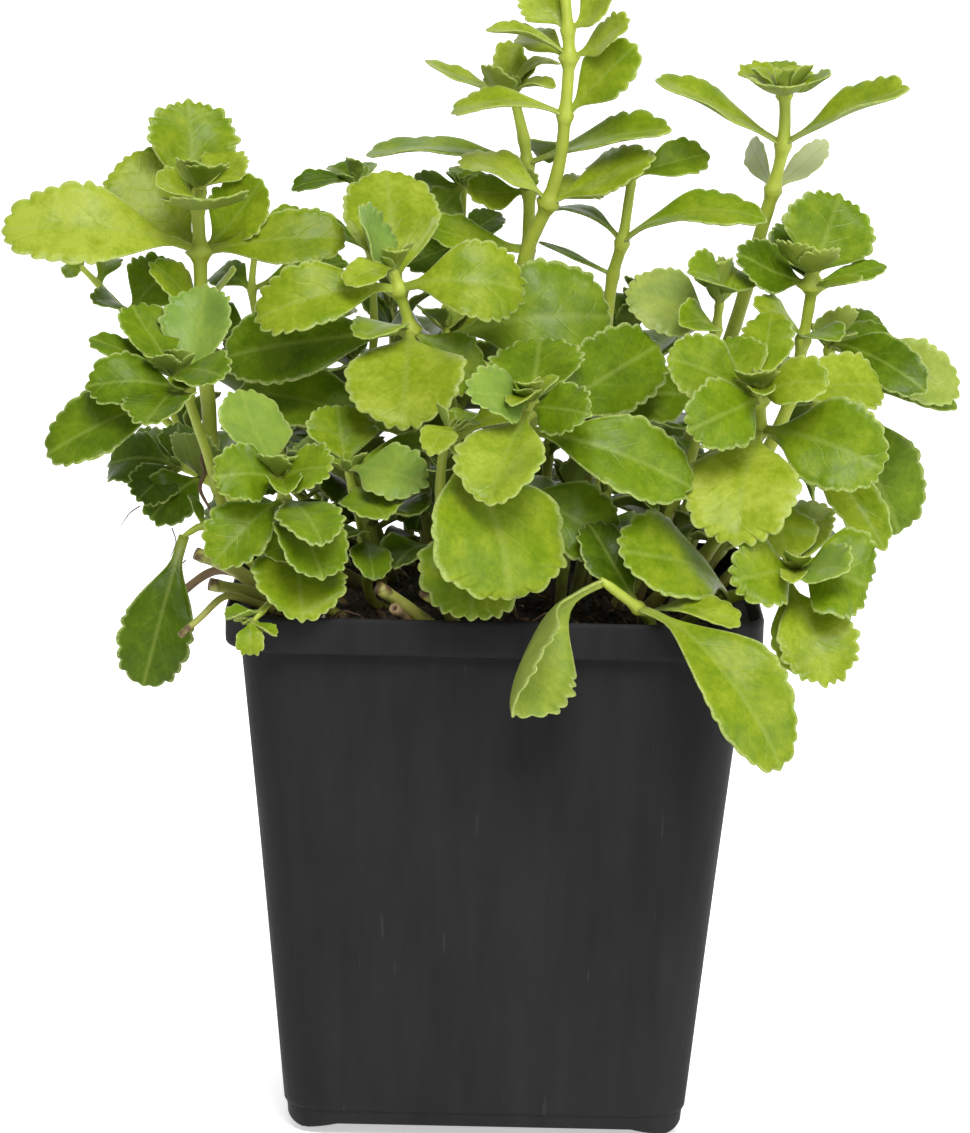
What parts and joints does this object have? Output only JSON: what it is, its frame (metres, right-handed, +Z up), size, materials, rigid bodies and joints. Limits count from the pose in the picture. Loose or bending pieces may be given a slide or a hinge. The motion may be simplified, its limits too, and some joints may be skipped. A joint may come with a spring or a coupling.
{
  "type": "potted stonecrop plant",
  "caption": "Leafy succulent with toothed spoon-shaped leaves in rosettes on upright stems, in a black square plastic nursery pot of potting mix.",
  "frame": {"origin": "centre of the flat underside of the pot's foot", "axes": "+Z up out of the pot, -Y towards the front of the pot, +X to the right as seen from the front"},
  "size_m": [0.1658, 0.1326, 0.2012],
  "materials": {
    "pot_plastic": "matte",
    "potting_mix": "matte",
    "leaf_green": "satin",
    "old_stem": "matte"
  },
  "bodies": {
    "root": {"cut_stem_front": "old_stem", "cut_stem_left": "old_stem", "cut_stem_left_low": "old_stem", "hollow_old_stub": "old_stem", "old_stem_left": "old_stem", "pot": "pot_plastic", "potting_mix": "potting_mix", "rosette_centre": "leaf_green", "rosette_front_left": "leaf_green", "rosette_front_left_inner": "leaf_green", "rosette_front_right": "leaf_green", "rosette_left": "leaf_green", "rosette_right": "leaf_green", "rosette_upper_right": "leaf_green", "shoot_back_centre": "leaf_green", "shoot_back_left": "leaf_green", "shoot_back_left_inner": "leaf_green", "shoot_back_right": "leaf_green", "shoot_back_right_inner": "leaf_green", "shoot_back_rim_centre": "leaf_green", "shoot_back_rim_left": "leaf_green", "shoot_back_rim_right": "leaf_green", "shoot_behind_left": "leaf_green", "shoot_behind_left_of_centre": "leaf_green", "shoot_centre_left": "leaf_green", "shoot_far_right": "leaf_green", "shoot_folded_right_of_centre": "leaf_green", "shoot_hanging_left": "leaf_green", "shoot_inner_back": "leaf_green", "shoot_inner_back_left": "leaf_green", "shoot_inner_left": "leaf_green", "shoot_inner_right": "leaf_green", "shoot_large_front_leaf": "leaf_green", "shoot_low_inner_back": "leaf_green", "shoot_low_inner_centre": "leaf_green", "shoot_low_inner_left": "leaf_green", "shoot_low_inner_right": "leaf_green", "shoot_low_left": "leaf_green", "shoot_low_right": "leaf_green", "shoot_middle": "leaf_green", "shoot_over_front_rim": "leaf_green", "shoot_side_left": "leaf_green", "shoot_side_right": "leaf_green", "shoot_slender_right_of_centre": "leaf_green", "shoot_small_behind_centre": "leaf_green", "shoot_tall_centre": "leaf_green", "shoot_tall_left_of_centre": "leaf_green", "shoot_tall_right": "leaf_green", "shoot_thin_far_left": "leaf_green", "shoot_tiny_over_rim": "leaf_green", "shoot_upper_left": "leaf_green", "thin_stem_over_left_rim": "old_stem", "twig_front": "old_stem"}
  },
  "joints": []
}
